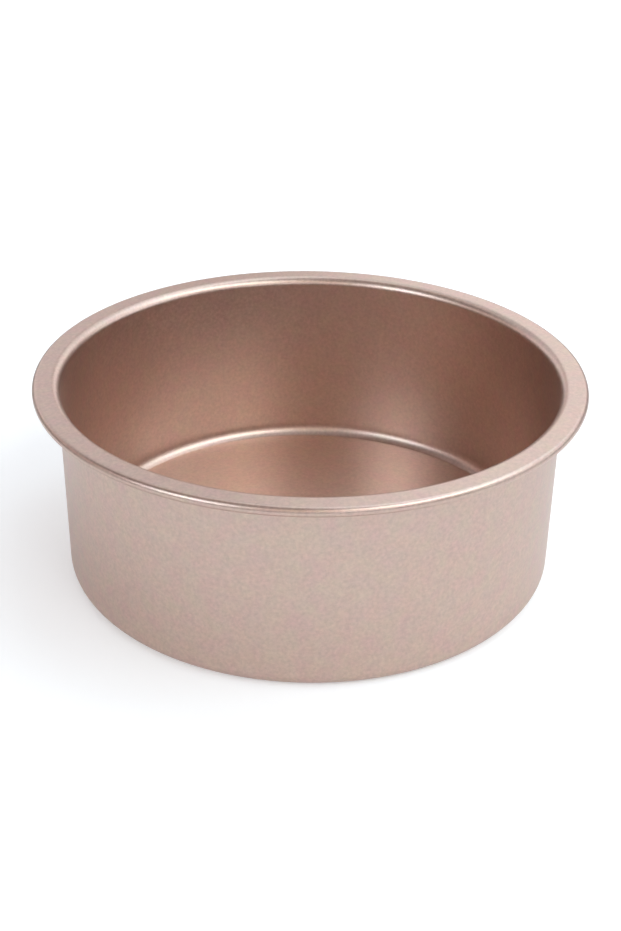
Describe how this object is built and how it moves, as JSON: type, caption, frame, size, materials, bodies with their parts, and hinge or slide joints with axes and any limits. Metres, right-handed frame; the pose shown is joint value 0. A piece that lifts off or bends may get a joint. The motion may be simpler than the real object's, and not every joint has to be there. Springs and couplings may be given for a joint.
{
  "type": "loose-bottom cake pan",
  "caption": "Round straight-sided cake pan with a flat flanged rim and a loose flat base that rests on an inward ledge and lifts out upward.",
  "frame": {"origin": "centre of the flat underside that the pan stands on", "axes": "+Z along the pan's axis, up out of its mouth; X and Y are any two horizontal directions, because the pan is round"},
  "size_m": [0.1718, 0.1718, 0.064],
  "materials": {
    "body_coating": "satin champagne-gold non-stick coating on steel sheet, with a fine metallic speckle",
    "base_coating": "satin champagne-gold non-stick coating on steel sheet, with a fine metallic speckle"
  },
  "bodies": {
    "pan_body": {"pan_body": "body_coating"},
    "loose_base": {"loose_base": "base_coating"}
  },
  "joints": [
    {"name": "bottom_lift", "type": "slide", "parent": "pan_body", "child": "loose_base", "axis": [0, 0, 1], "range_m": [0, 0.08]}
  ]
}
